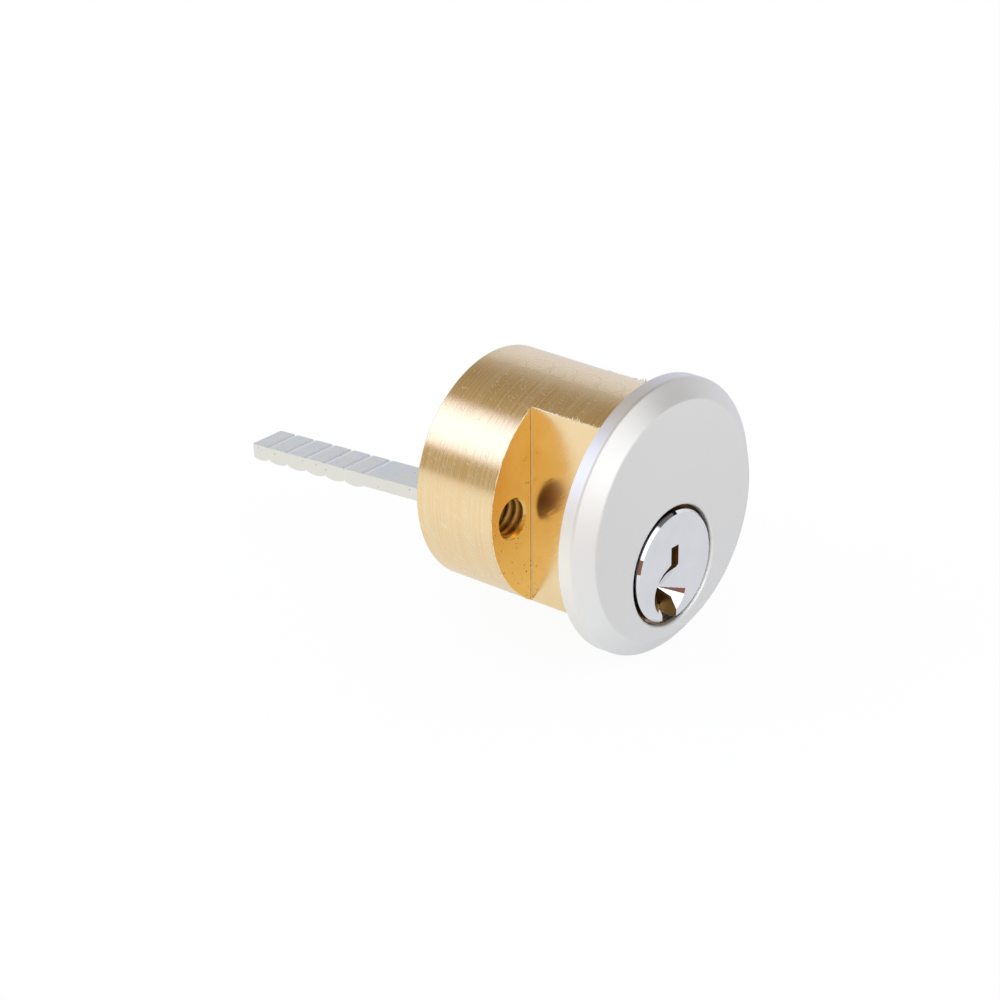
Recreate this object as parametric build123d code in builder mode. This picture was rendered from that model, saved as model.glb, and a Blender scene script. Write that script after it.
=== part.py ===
from build123d import *
import os
from math import cos, radians, sin, sqrt, tan

os.makedirs("parts", exist_ok=True)

# Keyed rim lock cylinder, lying along Y: key side to -Y, tail bar to +Y, pins standing up in Z
# The origin is on the barrel's axis at the door face, which is the underside of the head

# Barrel and its two milled sides
barrel_radius = 16.0
barrel_length = 26.5
barrel_end_chamfer = 0.3
side_flat_x = 7.8
side_notch_length = 13.5
side_notch_corner = 0.2

# Two tapped holes for the fixing screws
screw_spacing = 23.3
screw_drop = 0.6
screw_hole_radius = 2.5
screw_mouth_radius = 2.8

# Head in front of the door, with a pressed cap over it
head_radius = 18.85
head_thickness = 4.0
head_band = 1.95
head_face_radius = 16.35
head_edge_round = 0.5
cap_wall = 0.8
cap_hole_radius = 8.25
cap_hole_lip = 0.45

# Plug, which turns below the barrel's axis
plug_drop = 6.45
plug_radius = 6.35
plug_head_radius = 7.7
plug_face_radius = 7.4
plug_face_chamfer = 0.35
plug_proud = 0.2
plug_head_length = 2.65
neck_radius = 5.7
neck_length = 3.2

# Keyway, measured from the plug's axis
key_slot_half_width = 0.76
key_slot_top = 2.9
key_slot_foot = 0.1
key_blade_left = -2.5
key_blade_right = 0.5
key_ward_x = -1.1
key_ward_top = -0.95
key_ward_foot = -3.1
key_ward_slope = 0.45
key_foot_slope = 1.1
key_scoop_x = -0.85
key_scoop_z = -3.35
key_scoop_radius = 3.35
key_scoop_half_angle = 56.0

# Pins, one row along the barrel
pin_count = 5
pin_first_y = 2.6
pin_pitch = 3.96
pin_radius = 1.46
key_pin_lengths = (4.6, 6.2, 5.4, 6.8, 5.0)
key_pin_edge = 0.25
key_pin_point_radius = 0.5
key_pin_point_height = 0.8
driver_length = 5.6
driver_edge = 0.15
pin_floor = 1.6
chamber_plug_radius = 1.8
chamber_plug_thickness = 1.8
pin_wire_radius = 0.17
pin_spring_radius = 1.2
pin_spring_turns = 5
chords_per_turn = 12
wire_sides = 4

# Cap screwed on the plug's neck, with the pin that stops it unscrewing
rear_cap_radius = 7.5
rear_cap_wall = 1.0
rear_cap_hole = 3.7
rear_cap_notches = 6
cap_pin_offset = 4.6
cap_pin_radius = 0.6
cap_pin_length = 2.6
cap_pin_catch = 0.55
cap_pin_bore_depth = 4.8
cap_wire_radius = 0.1
cap_spring_radius = 0.45
cap_spring_turns = 5

# Tail bar, hanging a little in its slot
bar_width = 5.9
bar_thickness = 1.86
bar_reach = 40.7
bar_droop = 3.8
bar_sag = 0.38
bar_end_round = 0.3
bar_foot_round = 0.8
lug_width = 8.6
lug_length = 2.6
slot_depth = 3.0
slot_half_height = 1.45
snap_count = 6
snap_end = 3.0
snap_pitch = 3.64
snap_depth = 0.3
snap_half_width = 0.35
snap_lobe = 0.4
snap_groove_depth = 0.08
snap_groove_half_width = 0.45
snap_nick_depth = 0.35
snap_nick_half_width = 0.22

# Clearances: running fits, seats between fixed pieces, and the plug's end float
run_clearance = 0.05
seat_clearance = 0.02
end_float = 0.05

# Places worked out from the sizes above
plug_face_y = -head_thickness - plug_proud
shoulder_y = plug_face_y + plug_head_length
neck_y = barrel_length + end_float
neck_end_y = neck_y + neck_length
bore_radius = plug_radius + run_clearance
chamber_radius = pin_radius + run_clearance
bore_top = bore_radius - plug_drop
pin_rows = [pin_first_y + pin_pitch * k for k in range(pin_count)]
pin_flat_radius = pin_radius - key_pin_edge
key_pin_top = sqrt(plug_radius**2 - pin_flat_radius**2) - plug_drop - run_clearance
driver_bottom = bore_top + run_clearance
driver_top = driver_bottom + driver_length
chamber_ceiling = barrel_radius - chamber_plug_thickness
lug_y = neck_end_y - slot_depth / 2
plug_axis = Axis((0, 0, -plug_drop), (0, 1, 0))
plug_side = Plane(origin=(0, 0, -plug_drop), x_dir=(0, 1, 0), z_dir=(1, 0, 0))


def across(y, z=0.0):
    """Plane square to the barrel at y, seen from the key side, with its centre at height z."""
    return Plane(origin=(0, y, z), x_dir=(1, 0, 0), z_dir=(0, -1, 0))


def head_section(edge_round=0.0):
    """Half of the head's section: face, sloping edge and side band, with the two corners between rounded."""
    with BuildSketch(Plane.YZ) as section:
        with BuildLine():
            Polyline(
                (0, 0),
                (0, head_radius),
                (-head_band, head_radius),
                (-head_thickness, head_face_radius),
                (-head_thickness, 0),
                close=True,
            )
        make_face()
        if edge_round:
            corners = section.vertices().filter_by(lambda v: v.X < 0 and v.Y > 0)
            fillet(corners, radius=edge_round)
    return section.sketch


def coil(base, length, radius, wire_radius, turns):
    """Open coil spring standing on a base plane, its wire drawn as short straight chords."""
    rise = length - 2 * wire_radius
    count = round(turns * chords_per_turn)
    bends = []
    for k in range(count + 1):
        angle = radians(360 * turns * k / count)
        bends.append((radius * cos(angle), radius * sin(angle), wire_radius + rise * k / count))
    with BuildPart(base) as spring:
        with BuildLine(base):
            path = Polyline(*bends)
        with BuildSketch(Plane(path @ 0, z_dir=path % 0)):
            RegularPolygon(wire_radius, wire_sides)
        sweep(path=path, transition=Transition.RIGHT)
    return spring.part


# Head form with sharp corners, the even wall of its cap, and the core that this leaves
with BuildPart() as head_form:
    revolve(head_section(), axis=Axis.Y)
with BuildPart() as even_wall:
    add(head_form.part)
    offset(amount=-cap_wall, openings=even_wall.faces().sort_by(Axis.Y)[-1])
with BuildPart() as head_core:
    add(head_form.part)
    add(even_wall.part, mode=Mode.SUBTRACT)

# Cap: pressed over the core, with softened edges and a turned-in hole for the plug
with BuildPart() as face_cap:
    revolve(head_section(head_edge_round), axis=Axis.Y)
    add(head_core.part, mode=Mode.SUBTRACT)
    with BuildSketch(across(-head_thickness, -plug_drop)):
        Circle(cap_hole_radius)
    extrude(amount=-head_thickness, mode=Mode.SUBTRACT)
    hole_rims = face_cap.edges().filter_by(lambda e: e.geom_type == GeomType.CIRCLE
                                           and abs(e.radius - cap_hole_radius) < seat_clearance)
    fillet(hole_rims.sort_by(Axis.Y)[0], radius=cap_hole_lip)
face_cap.part.label = "face_cap"
export_step(face_cap.part, "parts/face_cap.step")

# Body: head core and barrel in one turned piece, bored off centre for the plug
with BuildPart() as cylinder_body:
    add(head_core.part)
    with BuildSketch(across(0)):
        Circle(barrel_radius)
    extrude(amount=-barrel_length)
    rear_rim = cylinder_body.faces().sort_by(Axis.Y)[-1].edges()
    chamfer(rear_rim, length=barrel_end_chamfer)
    # Milled sides, which clear the screws and leave two flats
    with BuildSketch(across(0)):
        cutter = barrel_radius - side_flat_x
        with Locations((-side_flat_x - cutter / 2, 0), (side_flat_x + cutter / 2, 0)):
            Rectangle(cutter, 2 * barrel_radius)
    extrude(amount=-side_notch_length, mode=Mode.SUBTRACT)
    notch_corners = cylinder_body.edges().filter_by(Axis.Z).filter_by_position(
        Axis.Y, side_notch_length - seat_clearance, side_notch_length + seat_clearance
    )
    fillet(notch_corners, radius=side_notch_corner)
    # Screw holes through the round end, their mouths opened before tapping
    with BuildSketch(across(barrel_length, -screw_drop)):
        with Locations((-screw_spacing / 2, 0), (screw_spacing / 2, 0)):
            Circle(screw_hole_radius)
    extrude(amount=barrel_length - side_notch_length, mode=Mode.SUBTRACT)
    mouths = cylinder_body.edges().filter_by(lambda e: e.geom_type == GeomType.CIRCLE
                                             and abs(e.radius - screw_hole_radius) < seat_clearance)
    chamfer(mouths, length=screw_mouth_radius - screw_hole_radius)
    # Plug bore, with a wider seat for the plug's head
    with BuildSketch(across(-head_thickness, -plug_drop)):
        Circle(bore_radius)
    extrude(amount=-head_thickness - barrel_length, mode=Mode.SUBTRACT)
    with BuildSketch(across(-head_thickness, -plug_drop)):
        Circle(cap_hole_radius)
    extrude(amount=-head_thickness - shoulder_y - end_float, mode=Mode.SUBTRACT)
    # Pin chambers, drilled from the top and wider at the mouth for their plugs
    with Locations(Plane.XY.offset(barrel_radius)):
        with Locations([(0, y) for y in pin_rows]):
            CounterBoreHole(
                radius=chamber_radius,
                counter_bore_radius=chamber_plug_radius + seat_clearance,
                counter_bore_depth=chamber_plug_thickness,
                depth=barrel_radius + plug_drop,
            )
cylinder_body.part.label = "cylinder_body"
export_step(cylinder_body.part, "parts/cylinder_body.step")

# Plugs in the chamber mouths, turned flush with the barrel
with BuildPart() as chamber_plugs:
    with BuildSketch(Plane.XY.offset(chamber_ceiling)):
        with Locations([(0, y) for y in pin_rows]):
            Circle(chamber_plug_radius)
    extrude(amount=chamber_plug_thickness)
    with BuildSketch(across(0)):
        Circle(barrel_radius)
    extrude(amount=-barrel_length, mode=Mode.INTERSECT)
chamber_plugs.part.label = "chamber_plugs"
export_step(chamber_plugs.part, "parts/chamber_plugs.step")

# Plug: head, body and threaded neck, then keyway, chambers and tail slot
with BuildPart() as plug:
    with BuildSketch(plug_side):
        with BuildLine():
            Polyline(
                (plug_face_y, 0),
                (plug_face_y, plug_face_radius),
                (plug_face_y + plug_face_chamfer, plug_head_radius),
                (shoulder_y, plug_head_radius),
                (shoulder_y, plug_radius),
                (neck_y, plug_radius),
                (neck_y, neck_radius),
                (neck_end_y, neck_radius),
                (neck_end_y, 0),
                close=True,
            )
        make_face()
    revolve(axis=plug_axis)
    with BuildSketch(across(plug_face_y, -plug_drop)):
        with BuildLine():
            left_foot = key_slot_foot + key_slot_half_width * key_ward_slope
            blade_top = left_foot + (key_blade_left + key_slot_half_width) * key_ward_slope
            Polyline(
                (-key_slot_half_width, key_slot_top),
                (key_slot_half_width, key_slot_top),
                (key_slot_half_width, key_slot_foot),
                (key_ward_x, key_ward_top),
                (key_ward_x, key_ward_foot),
                (key_blade_right, key_ward_foot - (key_blade_right - key_ward_x) * key_foot_slope),
                (key_blade_right, -plug_head_radius),
                (key_blade_left, -plug_head_radius),
                (key_blade_left, blade_top),
                (-key_slot_half_width, left_foot),
                close=True,
            )
        make_face()
    extrude(amount=-(neck_y - plug_face_y), mode=Mode.SUBTRACT)
    scoop = Plane(
        origin=(key_scoop_x, plug_face_y, key_scoop_z - plug_drop), x_dir=(1, 0, 0), z_dir=(0, 1, 0)
    )
    with Locations(scoop):
        Cone(
            key_scoop_radius,
            0,
            key_scoop_radius / tan(radians(key_scoop_half_angle)),
            align=(Align.CENTER, Align.CENTER, Align.MIN),
            mode=Mode.SUBTRACT,
        )
    with Locations(Plane.XY.offset(plug_radius - plug_drop)):
        with Locations([(0, y) for y in pin_rows]):
            Hole(chamber_radius, depth=plug_radius + pin_floor)
    with BuildSketch(across(neck_end_y, -plug_drop)):
        Rectangle(2 * neck_radius, 2 * slot_half_height)
    extrude(amount=slot_depth, mode=Mode.SUBTRACT)
    with Locations(Plane(origin=(0, neck_end_y, cap_pin_offset - plug_drop), z_dir=(0, 1, 0))):
        Hole(cap_pin_radius + run_clearance, depth=cap_pin_bore_depth)
plug.part.label = "plug"
export_step(plug.part, "parts/plug.step")

# Key pins, pointed where they ride on the key
for number, (y, length) in enumerate(zip(pin_rows, key_pin_lengths), 1):
    tip = key_pin_top - length
    with BuildPart() as key_pin:
        with BuildSketch(across(y)):
            with BuildLine():
                Polyline(
                    (0, key_pin_top),
                    (pin_radius - key_pin_edge, key_pin_top),
                    (pin_radius, key_pin_top - key_pin_edge),
                    (pin_radius, tip + key_pin_point_height),
                    (key_pin_point_radius, tip),
                    (0, tip),
                    close=True,
                )
            make_face()
        revolve(axis=Axis((0, y, 0), (0, 0, 1)))
    key_pin.part.label = f"key_pin_{number}"
    export_step(key_pin.part, f"parts/key_pin_{number}.step")

# Driver pins, flat at both ends, and the springs above them
for number, y in enumerate(pin_rows, 1):
    with BuildPart() as driver_pin:
        with BuildSketch(Plane(origin=(0, y, driver_bottom))):
            Circle(pin_radius)
        extrude(amount=driver_length)
        chamfer(driver_pin.edges().filter_by(GeomType.CIRCLE), length=driver_edge)
    driver_pin.part.label = f"driver_pin_{number}"
    export_step(driver_pin.part, f"parts/driver_pin_{number}.step")

    pin_spring = coil(
        base=Plane(origin=(0, y, driver_top)),
        length=chamber_ceiling - driver_top,
        radius=pin_spring_radius,
        wire_radius=pin_wire_radius,
        turns=pin_spring_turns,
    )
    pin_spring.label = f"pin_spring_{number}"
    export_step(pin_spring, f"parts/pin_spring_{number}.step")

# Rear cap: a screwed ring that keeps the plug in and traps the bar's lug
with BuildPart() as rear_cap:
    with BuildSketch(plug_side):
        with BuildLine():
            Polyline(
                (neck_y, neck_radius + seat_clearance),
                (neck_y, rear_cap_radius),
                (neck_end_y + rear_cap_wall, rear_cap_radius),
                (neck_end_y + rear_cap_wall, rear_cap_hole),
                (neck_end_y, rear_cap_hole),
                (neck_end_y, neck_radius + seat_clearance),
                close=True,
            )
        make_face()
    revolve(axis=plug_axis)
    chamfer(rear_cap.faces().sort_by(Axis.Y)[-1].edges(), length=barrel_end_chamfer)
    with BuildSketch(across(neck_end_y, -plug_drop)):
        with PolarLocations(cap_pin_offset, rear_cap_notches, start_angle=90):
            Circle(cap_pin_radius + run_clearance)
    extrude(amount=-cap_pin_catch - run_clearance, mode=Mode.SUBTRACT)
rear_cap.part.label = "rear_cap"
export_step(rear_cap.part, "parts/rear_cap.step")

# Cap pin and the spring that holds it in one of the cap's notches
cap_pin_back = neck_end_y + cap_pin_catch - cap_pin_length
with BuildPart() as cap_pin:
    with BuildSketch(across(cap_pin_back, cap_pin_offset - plug_drop)):
        Circle(cap_pin_radius)
    extrude(amount=-cap_pin_length)
    chamfer(cap_pin.edges().filter_by(GeomType.CIRCLE), length=driver_edge)
cap_pin.part.label = "cap_pin"
export_step(cap_pin.part, "parts/cap_pin.step")

cap_spring_floor = neck_end_y - cap_pin_bore_depth
cap_spring = coil(
    base=Plane(origin=(0, cap_spring_floor, cap_pin_offset - plug_drop), z_dir=(0, 1, 0)),
    length=cap_pin_back - cap_spring_floor,
    radius=cap_spring_radius,
    wire_radius=cap_wire_radius,
    turns=cap_spring_turns,
)
cap_spring.label = "cap_spring"
export_step(cap_spring, "parts/cap_spring.step")

# Tail bar: flat strip with a lug in the plug's slot and snap-off notches towards its end
bar_side = Plane(
    origin=(0, lug_y, -plug_drop - bar_sag),
    x_dir=(0, cos(radians(bar_droop)), -sin(radians(bar_droop))),
    z_dir=(1, 0, 0),
)
bar_top = Plane(origin=bar_side.origin, x_dir=bar_side.x_dir, z_dir=bar_side.y_dir)
snaps = [bar_reach - snap_end - snap_pitch * k for k in reversed(range(snap_count))]
half_bar = bar_thickness / 2
with BuildPart() as tail_bar:
    # Side view, with a lobe of squeezed metal below each length
    with BuildSketch(bar_side) as bar_profile:
        with Locations((bar_reach / 2, 0)):
            Rectangle(bar_reach, bar_thickness)
        with BuildLine():
            for near, far in zip(snaps, snaps[1:] + [bar_reach]):
                SagittaArc((near, -half_bar), (far, -half_bar), -snap_lobe)
            Polyline((bar_reach, -half_bar), (bar_reach, 0), (snaps[0], 0), (snaps[0], -half_bar))
        make_face()
        fillet(bar_profile.vertices().group_by(Axis.X)[-1].sort_by(Axis.Y)[0], radius=bar_foot_round)
        # A notch between lobes and a shallow groove on top, where the bar is snapped to length
        for station in snaps:
            with BuildLine():
                Polyline(
                    (station - snap_half_width, -half_bar - snap_lobe),
                    (station, snap_depth - half_bar),
                    (station + snap_half_width, -half_bar - snap_lobe),
                    close=True,
                )
            make_face(mode=Mode.SUBTRACT)
            with BuildLine():
                Polyline(
                    (station - snap_groove_half_width, half_bar),
                    (station, half_bar - snap_groove_depth),
                    (station + snap_groove_half_width, half_bar),
                    close=True,
                )
            make_face(mode=Mode.SUBTRACT)
    extrude(amount=bar_width / 2, both=True)
    # View from the top, with rounded corners and a nick at each groove from the shear blade
    with BuildSketch(bar_top) as bar_outline:
        with Locations((bar_reach / 2, 0)):
            Rectangle(bar_reach, bar_width)
        fillet(bar_outline.vertices().group_by(Axis.X)[-1], radius=bar_end_round)
        for station in snaps:
            with BuildLine():
                Polyline(
                    (station - snap_nick_half_width, -bar_width / 2),
                    (station, snap_nick_depth - bar_width / 2),
                    (station + snap_nick_half_width, -bar_width / 2),
                    close=True,
                )
            make_face(mode=Mode.SUBTRACT)
    extrude(amount=bar_thickness, both=True, mode=Mode.INTERSECT)
    # Lug that hangs in the plug's slot
    with BuildSketch(bar_side):
        Rectangle(lug_length, bar_thickness)
    extrude(amount=lug_width / 2, both=True)
tail_bar.part.label = "tail_bar"
export_step(tail_bar.part, "parts/tail_bar.step")
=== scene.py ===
from math import atan2, cos, exp, pi, radians, sin, sqrt
from random import Random

import bmesh
import bpy
from mathutils import Matrix, Vector


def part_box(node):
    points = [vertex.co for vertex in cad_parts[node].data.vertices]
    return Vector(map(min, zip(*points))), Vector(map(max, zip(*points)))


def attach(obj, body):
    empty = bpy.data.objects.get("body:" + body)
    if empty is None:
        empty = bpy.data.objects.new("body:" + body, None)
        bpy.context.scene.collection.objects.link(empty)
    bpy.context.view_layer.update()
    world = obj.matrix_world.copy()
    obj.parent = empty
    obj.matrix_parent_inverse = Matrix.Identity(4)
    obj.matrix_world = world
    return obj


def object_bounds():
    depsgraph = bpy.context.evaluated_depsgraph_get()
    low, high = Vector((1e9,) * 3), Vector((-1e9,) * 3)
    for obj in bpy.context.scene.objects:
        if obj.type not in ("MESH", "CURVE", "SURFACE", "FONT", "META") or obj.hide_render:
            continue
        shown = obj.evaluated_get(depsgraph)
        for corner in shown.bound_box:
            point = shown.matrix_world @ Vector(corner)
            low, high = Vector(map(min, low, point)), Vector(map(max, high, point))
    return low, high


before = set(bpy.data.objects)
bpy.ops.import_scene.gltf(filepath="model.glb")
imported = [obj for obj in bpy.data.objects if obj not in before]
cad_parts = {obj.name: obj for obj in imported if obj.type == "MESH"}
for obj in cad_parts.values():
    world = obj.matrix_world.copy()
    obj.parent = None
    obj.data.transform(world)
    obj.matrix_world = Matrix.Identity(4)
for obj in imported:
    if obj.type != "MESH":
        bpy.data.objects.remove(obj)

cad_low, cad_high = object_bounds()

# Cylinder body
# One piece of yellow brass bar: turned to size, bored off centre, then milled flat on both sides.
# Two screw holes are tapped through to its shoulders, a quarter inch across with 20 threads to the inch.
# The five plugs that close the pin chambers are of the same brass, turned flush with the barrel.
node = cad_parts
mm = 0.001


def colour(code):
    """sRGB hex to the linear colour that a shader takes."""
    parts = [int(code[i:i + 2], 16) / 255 for i in (1, 3, 5)]
    return tuple(p / 12.92 if p <= 0.04045 else ((p + 0.055) / 1.055) ** 2.4 for p in parts) + (1.0,)


def add(tree, kind, inputs=None, **settings):
    """Adds a shader node; each input takes a value, a socket, or a node for its first output."""
    made = tree.nodes.new("ShaderNode" + kind)
    for name, value in settings.items():
        setattr(made, name, value)
    for name, value in (inputs or {}).items():
        if isinstance(value, bpy.types.Node):
            value = next(socket for socket in value.outputs if socket.enabled)
        if isinstance(value, bpy.types.NodeSocket):
            tree.links.new(value, made.inputs[name])
        else:
            made.inputs[name].default_value = value
    return made


def new_finish(name):
    """An empty material with its output, ready for a shader."""
    material = bpy.data.materials.new(name)
    material.use_nodes = True
    tree = material.node_tree
    tree.nodes.clear()
    return material, tree, add(tree, "OutputMaterial")


def plain_metal(name, tint, roughness):
    """Drawn, ground or torn metal: an even sheen with a grain that only breaks up the highlight."""
    grain = 0.4 * mm
    material, tree, output = new_finish(name)
    place = add(tree, "TexCoord").outputs["Object"]
    specks = add(tree, "TexNoise", {"Vector": place, "Scale": 1 / grain, "Detail": 3.0})
    relief = add(tree, "Bump", {"Strength": 0.1, "Distance": 0.02 * mm, "Height": specks})
    dull = add(tree, "MapRange", {"Value": specks, "To Min": roughness - 0.05, "To Max": roughness + 0.05})
    shader = add(tree, "BsdfPrincipled", {"Base Color": colour(tint), "Metallic": 1.0, "Roughness": dull,
                                          "Normal": relief})
    tree.links.new(shader.outputs[0], output.inputs["Surface"])
    return material


barrel_radius, flat_x = 16.0 * mm, 7.8 * mm
thread_x, thread_z = 11.65 * mm, -0.6 * mm
thread_crest, thread_root, thread_pitch = 2.5 * mm, 3.1 * mm, 1.27 * mm
thread_start, thread_end = 13.5 * mm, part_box("cylinder_body")[1].y
core_end = -0.6 * mm
keyway_side, keyway_foot = 2.6 * mm, -13 * mm
line_length, line_spacing = 45 * mm, 0.2 * mm
cutter_slant, cutter_spacing = radians(-39), 0.25 * mm
scratch_slant, scratch_length, scratch_width = radians(50), 2.2 * mm, 0.16 * mm
pit_spacing, smear_size = 0.42 * mm, 4 * mm


def turned_brass():
    """Free-cutting brass: rings from the lathe on what is round, slanting cutter marks on what is milled."""
    material, tree, output = new_finish("turned_brass")
    where = add(tree, "TexCoord")
    place = where.outputs["Object"]
    at = add(tree, "SeparateXYZ", {0: place})
    facing = add(tree, "SeparateXYZ", {0: where.outputs["Normal"]})
    off_middle = add(tree, "Math", {0: at.outputs["X"]}, operation="ABSOLUTE")

    # Shoulders face along the barrel, and the milled flats face sideways near its middle
    lengthways = add(tree, "Math", {0: facing.outputs["Y"]}, operation="ABSOLUTE")
    shoulder = add(tree, "Math", {0: lengthways, 1: 0.7}, operation="GREATER_THAN")
    crossways = add(tree, "Math", {0: facing.outputs["X"]}, operation="ABSOLUTE")
    sideways = add(tree, "Math", {0: crossways, 1: 0.98}, operation="GREATER_THAN")
    inward = add(tree, "Math", {0: off_middle, 1: flat_x + 0.7 * mm}, operation="LESS_THAN")
    flat = add(tree, "Math", {0: sideways, 1: inward}, operation="MULTIPLY")
    milled = add(tree, "Math", {0: shoulder, 1: flat}, operation="MAXIMUM")

    # The cutter's worn corner leaves the fold between flat and shoulder dull, its colour broken up
    by_flat = add(tree, "Math", {0: off_middle, 1: flat_x + 0.1 * mm, 2: 0.14 * mm}, operation="COMPARE")
    by_shoulder = add(tree, "Math", {0: at.outputs["Y"], 1: thread_start, 2: 0.22 * mm}, operation="COMPARE")
    fold = add(tree, "Math", {0: by_flat, 1: by_shoulder}, operation="MULTIPLY")
    broken = add(tree, "TexNoise", {"Vector": place, "Scale": 1 / (0.5 * mm), "Detail": 1.0})
    broken = add(tree, "MapRange", {"Value": broken, "From Min": 0.4, "From Max": 0.6, "To Min": 0.35})

    # Inside the tapped holes the thread is painted brown, darker towards its roots: painted shade in the
    # holes
    beside = add(tree, "Math", {0: off_middle, 1: thread_x}, operation="SUBTRACT")
    above = add(tree, "Math", {0: at.outputs["Z"], 1: thread_z}, operation="SUBTRACT")
    from_hole = add(tree, "VectorMath", {0: add(tree, "CombineXYZ", {"X": beside, "Y": above})},
                    operation="LENGTH").outputs["Value"]
    depth_cut = add(tree, "MapRange", {"Value": from_hole, "From Min": thread_crest + 0.05 * mm,
                                       "From Max": thread_root - 0.25 * mm})
    near_hole = add(tree, "Math", {0: from_hole, 1: thread_root + 0.1 * mm}, operation="LESS_THAN")
    past_wall = add(tree, "Math", {0: at.outputs["Y"], 1: thread_start + 0.35 * mm}, operation="GREATER_THAN")
    in_hole = add(tree, "Math", {0: near_hole, 1: past_wall}, operation="MULTIPLY")
    before_end = add(tree, "Math", {0: at.outputs["Y"], 1: thread_end - 0.3 * mm}, operation="LESS_THAN")
    in_hole = add(tree, "Math", {0: in_hole, 1: before_end}, operation="MULTIPLY")
    under_cap = add(tree, "Math", {0: at.outputs["Y"], 1: core_end}, operation="LESS_THAN")

    # Lathe lines some centimetres long; real ones are finer, and these are 0.2 mm apart so that they show
    turned = add(tree, "Mapping", {"Vector": place, "Scale": (line_length, line_spacing, line_length)},
                 vector_type="TEXTURE")
    rings = add(tree, "TexNoise", {"Vector": turned, "Scale": 1.0, "Detail": 2.0})
    line = add(tree, "MapRange", {"Value": rings, "From Min": 0.35, "From Max": 0.65})

    # Cutter marks on the milled faces, 0.25 mm apart and slanting
    slanted = add(tree, "Mapping", {"Vector": place, "Rotation": (cutter_slant, 0, 0),
                                    "Scale": (2 * mm, 3 * mm, cutter_spacing)}, vector_type="TEXTURE")
    cutter = add(tree, "TexNoise", {"Vector": slanted, "Scale": 1.0, "Detail": 3.0})
    marks = add(tree, "Mix", {"Factor": milled, "A": rings, "B": cutter}, data_type="FLOAT")
    depth = add(tree, "Mix", {"Factor": milled, "A": 0.2, "B": 0.9}, data_type="FLOAT")
    relief = add(tree, "Bump", {"Strength": depth, "Distance": 0.02 * mm, "Height": marks})

    # A few short bright scratches from handling, a millimetre or two long
    crossing = add(tree, "Mapping", {"Vector": place, "Rotation": (scratch_slant, 0, radians(20)),
                                     "Scale": (0.5 * mm, scratch_length, scratch_width)},
                   vector_type="TEXTURE")
    scuffs = add(tree, "TexNoise", {"Vector": crossing, "Scale": 1.0, "Detail": 0.0})
    scratch = add(tree, "MapRange", {"Value": scuffs, "From Min": 0.73, "From Max": 0.76})
    unmilled = add(tree, "Math", {0: 1.0, 1: milled}, operation="SUBTRACT")
    scratch = add(tree, "Math", {0: scratch, 1: unmilled}, operation="MULTIPLY")

    # Lustre that varies over millimetres, and dark pits in the milled faces, more of them in the lower half
    smear = add(tree, "TexNoise", {"Vector": place, "Scale": 1 / smear_size, "Detail": 4.0})
    lustre = add(tree, "MapRange", {"Value": smear, "From Min": 0.3, "From Max": 0.7})
    cells = add(tree, "TexVoronoi", {"Vector": place, "Scale": 1 / pit_spacing})
    chosen = add(tree, "SeparateXYZ", {0: cells.outputs["Color"]})
    crowded = add(tree, "MapRange", {"Value": at.outputs["Z"], "From Min": -9 * mm, "From Max": 5 * mm,
                                     "To Min": 0.3, "To Max": 0.75})
    reach = add(tree, "MapRange", {"Value": chosen.outputs["X"], "From Min": crowded, "From Max": 1.0,
                                   "To Min": 0.0, "To Max": 0.27})
    pit = add(tree, "Math", {0: cells.outputs["Distance"], 1: reach}, operation="LESS_THAN")
    pit = add(tree, "Math", {0: pit, 1: milled}, operation="MULTIPLY")
    in_pocket = add(tree, "Math", {0: at.outputs["Y"], 1: thread_start + 1 * mm}, operation="LESS_THAN")
    pit = add(tree, "Math", {0: pit, 1: in_pocket}, operation="MULTIPLY")

    # The shoulders are a deeper yellow than the flats and the turned faces, with painted light paler towards
    # their foot
    streaked = add(tree, "Mix", {"Factor": line, "A": colour("#f6d8a6"), "B": colour("#fee7bd")},
                   data_type="RGBA")
    shoulder_tint = add(tree, "Mix", {"Factor": lustre, "A": colour("#edc16b"), "B": colour("#f2c979")},
                        data_type="RGBA")
    # Painted light from the floor below: the shoulders are paler towards their foot
    painted_floor_light = add(tree, "MapRange", {"Value": at.outputs["Z"], "From Min": -2 * mm, "From Max": -11 * mm})
    shoulder_tint = add(tree, "Mix", {"Factor": painted_floor_light, "A": shoulder_tint, "B": colour("#ffdc92")},
                        data_type="RGBA")
    flat_tint = add(tree, "Mix", {"Factor": lustre, "A": colour("#f8ddab"), "B": colour("#fce5b9")},
                    data_type="RGBA")
    tint = add(tree, "Mix", {"Factor": shoulder, "A": streaked, "B": shoulder_tint}, data_type="RGBA")
    tint = add(tree, "Mix", {"Factor": flat, "A": tint, "B": flat_tint}, data_type="RGBA")
    tint = add(tree, "Mix", {"Factor": scratch, "A": tint, "B": colour("#fff6d8")}, data_type="RGBA")
    dulled = add(tree, "Math", {0: fold, 1: broken}, operation="MULTIPLY")
    tint = add(tree, "Mix", {"Factor": dulled, "A": tint, "B": colour("#f6d795")}, data_type="RGBA")
    pit_share = add(tree, "Math", {0: pit, 1: 0.75}, operation="MULTIPLY")
    tint = add(tree, "Mix", {"Factor": pit_share, "A": tint, "B": colour("#4a3010")}, data_type="RGBA")
    # Painted shade: the thread is light brown at its crests and dark brown at its roots
    painted_thread_shade = add(tree, "Mix", {"Factor": depth_cut, "A": colour("#e6b565"), "B": colour("#a0722f")},
                data_type="RGBA")
    tint = add(tree, "Mix", {"Factor": in_hole, "A": tint, "B": painted_thread_shade}, data_type="RGBA")
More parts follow.
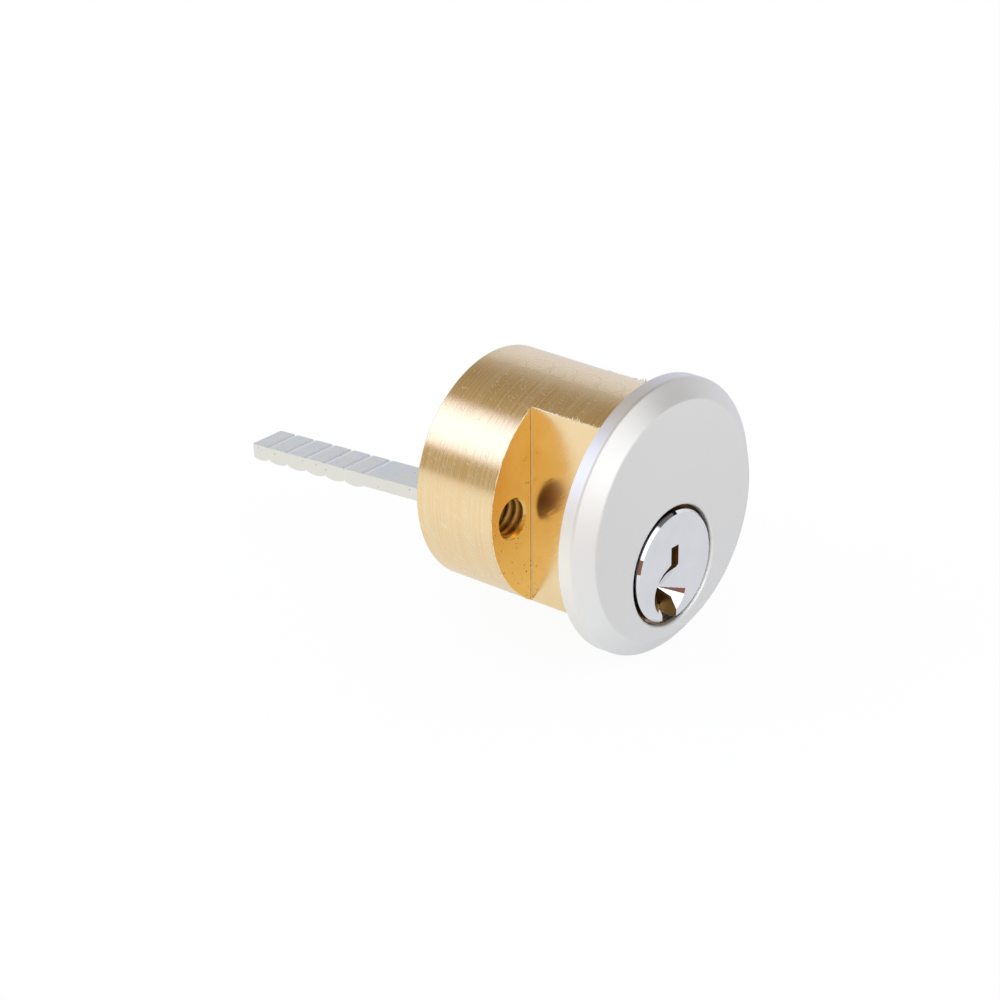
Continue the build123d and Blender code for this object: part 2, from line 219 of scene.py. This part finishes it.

    # Painted shade darkens the head's core under the cap, in the gap round the plug
    # Painted light makes the patch of the core that shows through the keyway's open foot paler
    at_keyway = add(tree, "Math", {0: off_middle, 1: keyway_side}, operation="LESS_THAN")
    at_foot = add(tree, "Math", {0: at.outputs["Z"], 1: keyway_foot}, operation="LESS_THAN")
    painted_light_patch = add(tree, "Math", {0: at_keyway, 1: at_foot}, operation="MULTIPLY")
    core_shade_and_light = add(tree, "Mix", {"Factor": painted_light_patch, "A": colour("#8f7656"), "B": colour("#d6d2c6")},
               data_type="RGBA")
    tint = add(tree, "Mix", {"Factor": under_cap, "A": tint, "B": core_shade_and_light}, data_type="RGBA")

    # Turned faces are duller than milled ones, and tapped, scratched or worn places duller still
    dull = add(tree, "MapRange", {"Value": rings, "From Min": 0.35, "From Max": 0.65, "To Min": 0.22,
                                  "To Max": 0.33})
    sharp = add(tree, "MapRange", {"Value": smear, "To Min": 0.12, "To Max": 0.2})
    dull = add(tree, "Mix", {"Factor": milled, "A": dull, "B": sharp}, data_type="FLOAT")
    rough_places = add(tree, "Math", {0: in_hole, 1: fold}, operation="MAXIMUM")
    rough_places = add(tree, "Math", {0: rough_places, 1: scratch}, operation="MAXIMUM")
    dull = add(tree, "Mix", {"Factor": rough_places, "A": dull, "B": 0.45}, data_type="FLOAT")

    # The blur of a turned face runs along the axis, and of a shoulder upwards
    along = add(tree, "Mix", {"Factor": shoulder, "A": (0, 1, 0), "B": (0, 0, 1)}, data_type="VECTOR")
    shader = add(tree, "BsdfPrincipled", {
        "Base Color": tint, "Metallic": 1.0, "Roughness": dull, "Anisotropic": 0.85,
        "Tangent": along, "Normal": relief})
    tree.links.new(shader.outputs[0], output.inputs["Surface"])
    return material


brass = turned_brass()
for name in ("cylinder_body", "chamber_plugs"):
    node[name].data.materials[0] = brass


def screw_tap(name, x):
    """The shape that a tap cuts: a rod with a V ridge wound round it, one turn to each pitch."""
    round_steps, pitch_steps = 40, 10
    slack, lead_in, run_out = 0.15 * mm, 0.3 * mm, 0.6 * mm
    rod = thread_crest - slack
    first, last = thread_start - lead_in, thread_end + run_out
    rows = int((last - first) / thread_pitch * pitch_steps) + 1
    mesh = bmesh.new()
    rings = []
    for row in range(rows):
        y = first + row * thread_pitch / pitch_steps
        ring = []
        for step in range(round_steps):
            turn = step / round_steps
            phase = abs(2 * ((row / pitch_steps + turn) % 1.0) - 1)
            radius = rod + (thread_root - rod) * phase
            ring.append(mesh.verts.new((x + radius * cos(2 * pi * turn), y,
                                        thread_z + radius * sin(2 * pi * turn))))
        rings.append(ring)
    for here, there in zip(rings, rings[1:]):
        for step in range(round_steps):
            after = (step + 1) % round_steps
            mesh.faces.new((here[step], there[step], there[after], here[after]))
    mesh.faces.new(rings[0])
    mesh.faces.new(rings[-1][::-1])
    bmesh.ops.recalc_face_normals(mesh, faces=mesh.faces)
    data = bpy.data.meshes.new(name)
    mesh.to_mesh(data)
    data.materials.append(brass)
    tap = bpy.data.objects.new(name, data)
    bpy.context.scene.collection.objects.link(tap)
    return tap


def cut_away(piece, cutters):
    """Takes the cutters' shapes out of the piece, and keeps its edges sharp and its flats evenly lit."""
    for cutter in cutters:
        cutter.hide_render = cutter.hide_viewport = True
        cut = piece.modifiers.new(cutter.name, "BOOLEAN")
        cut.operation, cut.solver, cut.object = "DIFFERENCE", "EXACT", cutter
    split = piece.modifiers.new("sharp_edges", "EDGE_SPLIT")
    split.split_angle = radians(24)
    even = piece.modifiers.new("even_shading", "WEIGHTED_NORMAL")
    even.mode, even.weight = "FACE_AREA_WITH_ANGLE", 50


cut_away(node["cylinder_body"], [screw_tap("left_tap", -thread_x), screw_tap("right_tap", thread_x)])

torn_brass = plain_metal("torn_brass", "#fff8dc", 0.5)
burr_sunk, burr_half_width = 0.05 * mm, 0.08 * mm


def burr(name, points, outward, heights, seed):
    """Torn metal that a milling cutter leaves on an edge: a thin ragged fin that leans both ways."""
    chance = Random(seed)
    mesh = bmesh.new()
    rows = []
    for index, (point, height) in enumerate(zip(points, heights)):
        way = outward(point)
        run = (points[min(index + 1, len(points) - 1)] - points[max(index - 1, 0)]).normalized()
        side = way.cross(run)
        rise = height * chance.choice((0.1, 0.2, 0.5, 1.0)) * chance.uniform(0.6, 1.0)
        lean = side * rise * chance.uniform(-0.9, 0.9)
        root, half = way * -burr_sunk, side * burr_half_width
        corners = (root - half, way * rise + lean, root + half)
        rows.append([mesh.verts.new(point + corner) for corner in corners])
    for here, there in zip(rows, rows[1:]):
        for first, second in ((0, 1), (1, 2), (2, 0)):
            mesh.faces.new((here[first], there[first], there[second], here[second]))
    mesh.faces.new(rows[0])
    mesh.faces.new(rows[-1][::-1])
    bmesh.ops.recalc_face_normals(mesh, faces=mesh.faces)
    data = bpy.data.meshes.new(name)
    mesh.to_mesh(data)
    data.materials.append(torn_brass)
    piece = bpy.data.objects.new(name, data)
    bpy.context.scene.collection.objects.link(piece)
    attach(piece, "cylinder")


edge_z = sqrt(barrel_radius ** 2 - flat_x ** 2)
edge_angle = atan2(edge_z, flat_x)
burr_steps, burr_start, burr_length = 110, 0.3 * mm, 13.0 * mm
torn_place, torn_spread, torn_height = 5.2 * mm, 2.6 * mm, 0.65 * mm
flat_burr_height, shoulder_burr_height = 0.14 * mm, 0.09 * mm
for side, name in ((-1, "left"), (1, "right")):
    # The cutter leaves the flat's top edge most torn about 5 mm behind the head
    along_edge = [Vector((side * flat_x, burr_start + burr_length * k / burr_steps, edge_z))
                  for k in range(burr_steps + 1)]
    ragged = [flat_burr_height + torn_height * exp(-((point.y - torn_place) / torn_spread) ** 2)
              for point in along_edge]
    burr(f"{name}_flat_burr", along_edge, lambda p: Vector((p.x * 0.6, 0, p.z)).normalized(),
         ragged, 3 + side)
    round_edge = [Vector((side * barrel_radius * cos(a), thread_start, barrel_radius * sin(a)))
                  for a in (edge_angle * (k / burr_steps * 2 - 1) for k in range(1, burr_steps))]
    burr(f"{name}_shoulder_burr", round_edge, lambda p: Vector((p.x, 0, p.z)).normalized(),
         [shoulder_burr_height] * len(round_edge), 7 + side)

# Pins and springs
# Drawn brass pins, centreless ground, stand in drilled chambers with a steel wire spring on each stack.
# The pointed key pins stand in the plug, and the flat driver pins and the springs in the body above them.
pin_brass = plain_metal("ground_brass", "#efcf94", 0.25)
spring_steel = plain_metal("spring_steel", "#c9cacd", 0.3)
for number in range(1, 6):
    for kind, finish, slot in (("key_pin", pin_brass, "brass_pin"), ("driver_pin", pin_brass, "brass_pin"),
                               ("pin_spring", spring_steel, "spring_wire")):
        piece = node[f"{kind}_{number}"]
        piece.data.materials[0] = finish

# Face cap
# Drawn brass cap with a satin chrome plate, a fine even matt, and a soft edge made bright by painted light.
# It is pressed over the head's core, and its off-centre hole lets the plug through.
hole_drop, hole_radius = 6.45 * mm, 8.25 * mm
lip_width, lip_fall = 0.75 * mm, 0.13 * mm


def satin_chrome():
    """Satin chrome: blasted before plating, so it is a cool light grey that blurs all it reflects."""
    material, tree, output = new_finish("satin_chrome")
    where = add(tree, "TexCoord")
    place = where.outputs["Object"]

    # The dents of the blasting grit, drawn 0.17 mm across, coarser than real ones, so that they show
    grit_size, haze_size = 0.17 * mm, 11 * mm
    grit = add(tree, "TexNoise", {"Vector": place, "Scale": 1 / grit_size, "Detail": 2.0})
    haze = add(tree, "TexNoise", {"Vector": place, "Scale": 1 / haze_size, "Detail": 3.0})
    dull = add(tree, "MapRange", {"Value": haze, "To Min": 0.5, "To Max": 0.58})

    # The lip round the plug rolls in on the right over its last 0.75 mm, softer than the solid's edge
    from_axis = add(tree, "VectorMath", {0: place, 1: (0, 0, -hole_drop)}, operation="SUBTRACT")
    from_axis = add(tree, "VectorMath", {0: from_axis, 1: (1, 0, 1)}, operation="MULTIPLY")
    radius = add(tree, "VectorMath", {0: from_axis}, operation="LENGTH").outputs["Value"]
    inward = add(tree, "MapRange", {"Value": radius, "From Min": hole_radius + lip_width,
                                    "From Max": hole_radius})
    fall = add(tree, "Math", {0: inward, 1: inward}, operation="MULTIPLY")
    to_right = add(tree, "VectorMath", {0: from_axis, 1: (1.0, 0, 0.1)},
                   operation="DOT_PRODUCT").outputs["Value"]
    to_right = add(tree, "MapRange", {"Value": to_right, "From Min": 0.35 * hole_radius,
                                      "From Max": 0.7 * hole_radius, "To Max": -lip_fall})
    level = add(tree, "Math", {0: fall, 1: to_right}, operation="MULTIPLY")
    lip = add(tree, "Bump", {"Strength": 1.0, "Distance": 1.0, "Height": level})
    relief = add(tree, "Bump", {"Strength": 0.08, "Distance": 0.02 * mm, "Height": grit, "Normal": lip})

    # Painted light: the turned slope and rim are painted paler where they face left, towards the light, than
    # the flat face
    facing = add(tree, "SeparateXYZ", {0: where.outputs["Normal"]})
    turned = add(tree, "MapRange", {"Value": facing.outputs["X"], "From Min": -0.1, "From Max": -0.5})
    tint = add(tree, "Mix", {"Factor": turned, "A": colour("#f2f2f2"), "B": colour("#fdfefd")},
               data_type="RGBA")
    # Painted light: the rim, facing further left, is painted palest
    rim_painted_light = add(tree, "MapRange", {"Value": facing.outputs["X"], "From Min": -0.6, "From Max": -0.9})
    tint = add(tree, "Mix", {"Factor": rim_painted_light, "A": tint, "B": colour("#fffef9")}, data_type="RGBA")
    shader = add(tree, "BsdfPrincipled", {"Base Color": tint, "Metallic": 1.0, "Roughness": dull,
                                          "Normal": relief})
    tree.links.new(shader.outputs[0], output.inputs["Surface"])
    return material


node["face_cap"].data.materials[0] = satin_chrome()

# Plug
# Turned brass plug with its head polished and chrome plated; the keyway was broached after plating.
# The head stands in the cap's hole, and the bare brass behind it turns in the body.
plug_low, plug_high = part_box("plug")
plug_axis_z = (plug_low.z + plug_high.z) / 2
head_back, chromed_rim = plug_low.y + 2.6 * mm, 7.5 * mm


def bright_chrome():
    """Bright chrome on the head, the bare brass of the cut inside the keyway and behind the head."""
    material, tree, output = new_finish("bright_chrome")
    where = add(tree, "TexCoord")
    place = where.outputs["Object"]
    at = add(tree, "SeparateXYZ", {0: place})
    facing = add(tree, "SeparateXYZ", {0: where.outputs["Normal"]})

    # Walls along the plug are bare, but for the rim of its head
    lengthways = add(tree, "Math", {0: facing.outputs["Y"]}, operation="ABSOLUTE")
    wall = add(tree, "Math", {0: lengthways, 1: 0.5}, operation="LESS_THAN")
    from_axis = add(tree, "VectorMath", {0: place, 1: (0, 0, plug_axis_z)}, operation="SUBTRACT")
    from_axis = add(tree, "VectorMath", {0: from_axis, 1: (1, 0, 1)}, operation="MULTIPLY")
    radius = add(tree, "VectorMath", {0: from_axis}, operation="LENGTH").outputs["Value"]
    within = add(tree, "Math", {0: radius, 1: chromed_rim}, operation="LESS_THAN")
    bare = add(tree, "Math", {0: wall, 1: within}, operation="MULTIPLY")
    behind = add(tree, "Math", {0: at.outputs["Y"], 1: head_back}, operation="GREATER_THAN")
    bare = add(tree, "Math", {0: bare, 1: behind}, operation="MAXIMUM")

    # A faint smokiness and ripple a few millimetres wide, as a buffed face has under its plate
    ripple_size = 2.5 * mm
    smoky = add(tree, "TexNoise", {"Vector": place, "Scale": 1 / ripple_size, "Detail": 4.0})
    chrome = add(tree, "Mix", {"Factor": smoky, "A": colour("#e6e7ec"), "B": colour("#f3f3f6")},
                 data_type="RGBA")
    tint = add(tree, "Mix", {"Factor": bare, "A": chrome, "B": colour("#dcb87c")}, data_type="RGBA")
    dull = add(tree, "Mix", {"Factor": bare, "A": 0.05, "B": 0.4}, data_type="FLOAT")
    ripple = add(tree, "TexNoise", {"Vector": place, "Scale": 1 / ripple_size, "Detail": 2.0})
    relief = add(tree, "Bump", {"Strength": 0.03, "Distance": 0.02 * mm, "Height": ripple})
    shader = add(tree, "BsdfPrincipled", {"Base Color": tint, "Metallic": 1.0, "Roughness": dull,
                                          "Normal": relief})
    tree.links.new(shader.outputs[0], output.inputs["Surface"])
    return material


node["plug"].data.materials[0] = bright_chrome()

# A second pass of the broach took the top corner off the keyway's ward; its corners are in mm from the axis
broach_corners = [(0.9, 0.18), (-1.2, -0.5), (-1.2, -1.5), (-0.46, -1.5)]
broach_start, broach_end = plug_low.y - 1 * mm, plug_low.y + 12 * mm
ward_mesh = bpy.data.meshes.new("ward_broach")
ward_mesh.from_pydata([(x * mm, y, plug_axis_z + z * mm) for y in (broach_start, broach_end)
                       for x, z in broach_corners], [],
                      [(3, 2, 1, 0), (4, 5, 6, 7), (0, 1, 5, 4), (1, 2, 6, 5), (2, 3, 7, 6), (3, 0, 4, 7)])
ward_mesh.materials.append(node["plug"].data.materials[0])
broach = bpy.data.objects.new("ward_broach", ward_mesh)
bpy.context.scene.collection.objects.link(broach)
broach.parent = node["plug"]
broach.matrix_parent_inverse = node["plug"].matrix_world.inverted()
cut_away(node["plug"], [broach])

# Rear cap
# A brass ring screwed on the plug's neck, held from turning by a small sprung steel pin.
# Pin and spring stand in a hole drilled in the neck's end.
cap_steel = plain_metal("turned_steel", "#b9babd", 0.28)
for name, finish, slot in (("rear_cap", brass, "turned_brass"), ("cap_pin", cap_steel, "steel_pin"),
                           ("cap_spring", spring_steel, "spring_wire")):
    node[name].data.materials[0] = finish

# Tail bar
# Flat strip of mild steel, sheared to width, coined with snap-off grooves and zinc plated.
# It hangs by its lug between the plug and the rear cap.
groove_end, groove_pitch, groove_count = 65.87 * mm, 3.632 * mm, 6


def zinc_plate():
    """Zinc plate: a pale matt grey with faint pink and yellow tints and dark specks, plainer on the sides."""
    material, tree, output = new_finish("zinc_plate")
    where = add(tree, "TexCoord")
    place = where.outputs["Object"]
    facing = add(tree, "SeparateXYZ", {0: where.outputs["Normal"]})
    crossways = add(tree, "Math", {0: facing.outputs["X"]}, operation="ABSOLUTE")
    sheared = add(tree, "Math", {0: crossways, 1: 0.7}, operation="GREATER_THAN")
    cloud = add(tree, "TexNoise", {"Vector": place, "Scale": 1 / (2 * mm), "Detail": 4.0})
    shade = add(tree, "MapRange", {"Value": cloud, "From Min": 0.35, "From Max": 0.65})
    rolled = add(tree, "Mix", {"Factor": shade, "A": colour("#e6ebe6"), "B": colour("#f4f2e6")},
                 data_type="RGBA")
    bloom = add(tree, "TexNoise", {"Vector": place, "Scale": 1 / (1.2 * mm), "Detail": 2.0})
    pink = add(tree, "MapRange", {"Value": bloom, "From Min": 0.58, "From Max": 0.72, "To Max": 0.6})
    yellow = add(tree, "MapRange", {"Value": bloom, "From Min": 0.42, "From Max": 0.3, "To Max": 0.6})
    rolled = add(tree, "Mix", {"Factor": pink, "A": rolled, "B": colour("#fbe8e2")}, data_type="RGBA")
    rolled = add(tree, "Mix", {"Factor": yellow, "A": rolled, "B": colour("#f6f2cc")}, data_type="RGBA")
    tint = add(tree, "Mix", {"Factor": sheared, "A": rolled, "B": colour("#edeee7")}, data_type="RGBA")

    # The coined snap-off grooves are painted paler than the strip between them: a painted reflection of the
    # pale backdrop
    along = add(tree, "SeparateXYZ", {0: place}).outputs["Y"]
    from_end = add(tree, "Math", {0: along, 1: groove_end}, operation="SUBTRACT")
    from_groove = add(tree, "Math", {0: from_end, 1: groove_pitch / 2}, operation="PINGPONG")
    painted_groove_sheen = add(tree, "MapRange", {"Value": from_groove, "From Min": 0.6 * mm, "From Max": 0.2 * mm})
    before_first = (0.6 - groove_count) * groove_pitch
    notched = add(tree, "Math", {0: from_end, 1: before_first}, operation="GREATER_THAN")
    painted_groove_sheen = add(tree, "Math", {0: painted_groove_sheen, 1: notched}, operation="MULTIPLY")
    painted_groove_sheen = add(tree, "Math", {0: painted_groove_sheen, 1: 0.6}, operation="MULTIPLY")
    rolled_side = add(tree, "Math", {0: 1.0, 1: sheared}, operation="SUBTRACT")
    painted_groove_sheen = add(tree, "Math", {0: painted_groove_sheen, 1: rolled_side}, operation="MULTIPLY")
    # Painted reflection: the grooves' flanks are tinted towards white
    tint = add(tree, "Mix", {"Factor": painted_groove_sheen, "A": tint, "B": colour("#ffffff")}, data_type="RGBA")

    # Dark specks, up to a quarter of a millimetre across
    speck_spacing = 0.6 * mm
    cells = add(tree, "TexVoronoi", {"Vector": place, "Scale": 1 / speck_spacing})
    chosen = add(tree, "SeparateXYZ", {0: cells.outputs["Color"]})
    reach = add(tree, "MapRange", {"Value": chosen.outputs["X"], "From Min": 0.7, "From Max": 1.0,
                                   "To Min": 0.0, "To Max": 0.22})
    speck = add(tree, "Math", {0: cells.outputs["Distance"], 1: reach}, operation="LESS_THAN")
    speck = add(tree, "Math", {0: speck, 1: 0.5}, operation="MULTIPLY")
    tint = add(tree, "Mix", {"Factor": speck, "A": tint, "B": colour("#5a6468")}, data_type="RGBA")

    dull = add(tree, "MapRange", {"Value": cloud, "To Min": 0.36, "To Max": 0.5})
    grain = add(tree, "TexNoise", {"Vector": place, "Scale": 1 / (0.33 * mm), "Detail": 3.0})
    relief = add(tree, "Bump", {"Strength": 0.15, "Distance": 0.03 * mm, "Height": grain})
    shader = add(tree, "BsdfPrincipled", {"Base Color": tint, "Metallic": 1.0, "Roughness": dull,
                                          "Normal": relief})
    tree.links.new(shader.outputs[0], output.inputs["Surface"])
    return material


node["tail_bar"].data.materials[0] = zinc_plate()

# Studio
# White paper under and behind the object, and one softbox up on the left behind it. The metal mirrors a room
# with a window in front, a brown table below it on the left, and a warm wall above the paper behind.


def white_paper():
    """Paper that shows as white to the camera and in the metal, and still takes the object's shadow."""
    material, tree, output = new_finish("white_paper")
    path = add(tree, "LightPath")
    place = add(tree, "TexCoord").outputs["Object"]
    paper = add(tree, "BsdfDiffuse", {"Color": colour("#f4f4f4")})
    white = add(tree, "Emission", {"Color": (1, 1, 1, 1), "Strength": 1.0})
    open_paper = add(tree, "MixShader", {0: 0.94, 1: paper, 2: white})

    # In the metal the paper is a little darker where the object shades it, at its front right
    shaded_spot = (0.03, -0.03, -0.019)
    from_shade = add(tree, "VectorMath", {0: place, 1: shaded_spot}, operation="DISTANCE").outputs["Value"]
    shade = add(tree, "MapRange", {"Value": from_shade, "From Min": 0.03, "From Max": 0.11},
                interpolation_type="SMOOTHSTEP")
    tint = add(tree, "Mix", {"Factor": shade, "A": colour("#e2e3e5"), "B": colour("#f8f7f6")},
               data_type="RGBA")

    # Past the paper's edge on the front left, which slants and then runs straight, is the brown table
    slope, slant_y, straight_y = 0.56, -0.026, -0.04
    on_floor = add(tree, "SeparateXYZ", {0: place})
    slant = add(tree, "Math", {0: on_floor.outputs["X"], 1: slope, 2: slant_y}, operation="MULTIPLY_ADD")
    edge = add(tree, "Math", {0: slant, 1: straight_y}, operation="MINIMUM")
    past_edge = add(tree, "Math", {0: on_floor.outputs["Y"], 1: edge}, operation="LESS_THAN")
    on_left = add(tree, "Math", {0: on_floor.outputs["X"], 1: 0.0}, operation="LESS_THAN")
    table = add(tree, "Math", {0: past_edge, 1: on_left}, operation="MULTIPLY")

    # Something pale covers one stretch of the table
    cover_bearing, cover_half = 0.62, 0.22
    bearing = add(tree, "Math", {0: on_floor.outputs["X"], 1: on_floor.outputs["Y"]}, operation="DIVIDE")
    covered = add(tree, "Math", {0: bearing, 1: cover_bearing, 2: cover_half}, operation="COMPARE")
    bare = add(tree, "Math", {0: 1.0, 1: covered}, operation="SUBTRACT")
    table = add(tree, "Math", {0: table, 1: bare}, operation="MULTIPLY")

    # The paper behind on the right is in cooler light
    at_right = add(tree, "Math", {0: on_floor.outputs["X"], 1: 0.03}, operation="GREATER_THAN")
    at_back = add(tree, "Math", {0: on_floor.outputs["Y"], 1: 0.01}, operation="GREATER_THAN")
    cool = add(tree, "Math", {0: at_right, 1: at_back}, operation="MULTIPLY")
    tint = add(tree, "Mix", {"Factor": cool, "A": tint, "B": colour("#e2e9ff")}, data_type="RGBA")
    tint = add(tree, "Mix", {"Factor": table, "A": tint, "B": colour("#8f6259")}, data_type="RGBA")

    # Metal mirrors the paper evenly lit, other light falls on it as on plain paper, the camera sees it white
    mirrored = add(tree, "Emission", {"Color": tint, "Strength": 1.0})
    seen = add(tree, "Math", {0: path.outputs["Is Glossy Ray"], 1: path.outputs["Is Transmission Ray"]},
               operation="MAXIMUM")
    metal = add(tree, "MixShader", {0: seen, 1: paper, 2: mirrored})
    shader = add(tree, "MixShader", {0: path.outputs["Is Camera Ray"], 1: metal, 2: open_paper})
    tree.links.new(shader.outputs[0], output.inputs["Surface"])
    return material


floor_mesh = bpy.data.meshes.new("floor")
front_edge, far_edge = -0.4, 3.0
floor_z = cad_low.z - 0.3 * mm
floor_mesh.from_pydata([(-far_edge, front_edge, floor_z), (far_edge, front_edge, floor_z),
                        (far_edge, far_edge, floor_z), (-far_edge, far_edge, floor_z)], [], [(0, 1, 2, 3)])
floor = bpy.data.objects.new("floor", floor_mesh)
floor_mesh.materials.append(white_paper())
bpy.context.scene.collection.objects.link(floor)

# The room, as the metal mirrors it: paper swept up behind, warm wall above it, grey room in front
world = bpy.data.worlds.new("studio")
bpy.context.scene.world = world
world.use_nodes = True
tree = world.node_tree
tree.nodes.clear()
toward = add(tree, "TexCoord").outputs["Generated"]
part = add(tree, "SeparateXYZ", {0: toward})
from_camera = (0.764, 0.645, 0.0)
ahead = add(tree, "VectorMath", {0: toward, 1: from_camera}, operation="DOT_PRODUCT").outputs["Value"]
ahead = add(tree, "Math", {0: ahead, 1: 0.02}, operation="MAXIMUM")
rise = add(tree, "Math", {0: part.outputs["Z"], 1: ahead}, operation="DIVIDE")
sweep = add(tree, "MapRange", {"Value": rise, "From Min": 0.8, "From Max": 0.7})
to_left = add(tree, "MapRange", {"Value": part.outputs["X"], "From Min": 0.25, "From Max": -0.5})
to_front = add(tree, "MapRange", {"Value": part.outputs["Y"], "From Min": 0.1, "From Max": -0.35})
room = add(tree, "Mix", {"Factor": to_left, "A": colour("#9c8c6e"), "B": colour("#c0b090")},
           data_type="RGBA")
front_left = add(tree, "MapRange", {"Value": part.outputs["X"], "From Min": -0.1, "From Max": -0.35})
front = add(tree, "Mix", {"Factor": front_left, "A": colour("#6f6d6b"), "B": colour("#dedede")},
            data_type="RGBA")
room = add(tree, "Mix", {"Factor": to_front, "A": room, "B": front}, data_type="RGBA")

# In front a window fills the middle, with a white card and a dark lens to the right of it
window = add(tree, "MapRange", {"Value": part.outputs["Y"], "From Min": -0.6, "From Max": -0.63})
window_end = add(tree, "MapRange", {"Value": part.outputs["X"], "From Min": 0.5, "From Max": 0.42})
window = add(tree, "Math", {0: window, 1: window_end}, operation="MULTIPLY")
daylight = (1.55, 1.55, 1.55, 1.0)
room = add(tree, "Mix", {"Factor": window, "A": room, "B": daylight}, data_type="RGBA")
card = add(tree, "MapRange", {"Value": part.outputs["X"], "From Min": 0.73, "From Max": 0.76})
card_end = add(tree, "MapRange", {"Value": part.outputs["Y"], "From Min": -0.36, "From Max": -0.3})
card_share = add(tree, "Math", {0: card, 1: card_end}, operation="MULTIPLY")
room = add(tree, "Mix", {"Factor": card_share, "A": room, "B": colour("#f0f0f1")}, data_type="RGBA")
lens_place = (0.72, -0.31, 0.61)
to_lens = add(tree, "VectorMath", {0: toward, 1: lens_place}, operation="DISTANCE").outputs["Value"]
lens_share = add(tree, "MapRange", {"Value": to_lens, "From Min": 0.085, "From Max": 0.07})
room = add(tree, "Mix", {"Factor": lens_share, "A": room, "B": colour("#1c1a1a")}, data_type="RGBA")

# Below the window on the left is the table: brown in two stretches, pale between and beside them
table_rim = add(tree, "Math", {0: part.outputs["X"], 1: -0.525, 2: -0.11}, operation="MULTIPLY_ADD")
low_down = add(tree, "Math", {0: part.outputs["Z"], 1: table_rim}, operation="LESS_THAN")
in_front = add(tree, "Math", {0: part.outputs["Y"], 1: -0.3}, operation="LESS_THAN")
table = add(tree, "Math", {0: in_front, 1: low_down}, operation="MULTIPLY")
first_end, second_start, second_end = -0.6, -0.34, -0.2
past_first = add(tree, "Math", {0: part.outputs["X"], 1: first_end}, operation="GREATER_THAN")
before_second = add(tree, "Math", {0: part.outputs["X"], 1: second_start}, operation="LESS_THAN")
between = add(tree, "Math", {0: past_first, 1: before_second}, operation="MULTIPLY")
past_second = add(tree, "Math", {0: part.outputs["X"], 1: second_end}, operation="GREATER_THAN")
cover = add(tree, "Math", {0: between, 1: past_second}, operation="MAXIMUM")
table_tint = add(tree, "Mix", {"Factor": cover, "A": colour("#8f6259"), "B": colour("#f0f0f0")},
                 data_type="RGBA")
room = add(tree, "Mix", {"Factor": table, "A": room, "B": table_tint}, data_type="RGBA")

# Everything else below the horizon is paper, and so is the sweep behind, in cooler light farther round
under = add(tree, "Math", {0: part.outputs["Z"], 1: 0.0}, operation="LESS_THAN")
no_table = add(tree, "Math", {0: 1.0, 1: table}, operation="SUBTRACT")
below = add(tree, "Math", {0: under, 1: no_table}, operation="MULTIPLY")
behind = add(tree, "Math", {0: ahead, 1: 0.02}, operation="GREATER_THAN")
swept = add(tree, "Math", {0: sweep, 1: behind}, operation="MULTIPLY")
paper_share = add(tree, "Math", {0: swept, 1: below}, operation="MAXIMUM")
far = add(tree, "MapRange", {"Value": part.outputs["Y"], "From Min": 0.25, "From Max": 0.4})
sweep_tint = add(tree, "Mix", {"Factor": far, "A": colour("#ecebee"), "B": colour("#e2e9ff")},
                 data_type="RGBA")
paper_tint = add(tree, "Mix", {"Factor": swept, "A": colour("#f8f7f6"), "B": sweep_tint},
                 data_type="RGBA")
studio = add(tree, "Mix", {"Factor": paper_share, "A": room, "B": paper_tint}, data_type="RGBA")

# The camera sees plain white, and dull surfaces are lit by plain white too
path = add(tree, "LightPath")
plain = add(tree, "Math", {0: path.outputs["Is Camera Ray"], 1: path.outputs["Is Diffuse Ray"]},
            operation="MAXIMUM")
shown = add(tree, "Mix", {"Factor": plain, "A": studio, "B": (1, 1, 1, 1)}, data_type="RGBA")
light = add(tree, "Background", {"Color": shown, "Strength": 1.0})
add(tree, "OutputWorld", {"Surface": light})


def softbox(name, direction, distance, width, height, radiance, tint):
    """Flat lamp that looks at the object from that direction; its face shines at that radiance."""
    data = bpy.data.lights.new(name, "AREA")
    data.shape = "RECTANGLE"
    data.size, data.size_y = width, height
    data.color = colour(tint)[:3]
    data.energy = radiance * pi * width * height
    lamp = bpy.data.objects.new(name, data)
    away = Vector(direction).normalized()
    lamp.location = away * distance
    lamp.rotation_mode = "QUATERNION"
    lamp.rotation_quaternion = away.to_track_quat("Z", "Y")
    bpy.context.scene.collection.objects.link(lamp)


softbox("back_left_softbox", direction=(-0.545, 0.584, 0.601), distance=0.9, width=0.56, height=0.54,
        radiance=2.4, tint="#b9ccff")

# Camera
# Long lens looking down on the key side from the front left, level but for a third of a degree.
# Its place was fitted to the outlines of the head, the barrel and the milled faces.
azimuth, elevation, roll = radians(-49.881), radians(24.999), radians(-0.374)
camera_distance = 447.12 * mm
camera_right, camera_up = -19.469 * mm, 1.653 * mm
photo_lens, sensor = 123.83, 36.0

back = Vector((sin(azimuth) * cos(elevation), -cos(azimuth) * cos(elevation), sin(elevation)))
level_right = Vector((cos(azimuth), sin(azimuth), 0))
level_up = back.cross(level_right)
right = level_right * cos(roll) + level_up * sin(roll)
up = level_up * cos(roll) - level_right * sin(roll)
lens = bpy.data.cameras.new("camera")
lens.lens = photo_lens
lens.sensor_width = sensor
camera = bpy.data.objects.new("camera", lens)
camera.matrix_world = Matrix.Translation(
    back * camera_distance + right * camera_right + up * camera_up
) @ Matrix((right, up, back)).transposed().to_4x4()
bpy.context.scene.collection.objects.link(camera)
bpy.context.scene.camera = camera
lens.clip_start = 0.01
bpy.context.scene.view_settings.view_transform = "Standard"
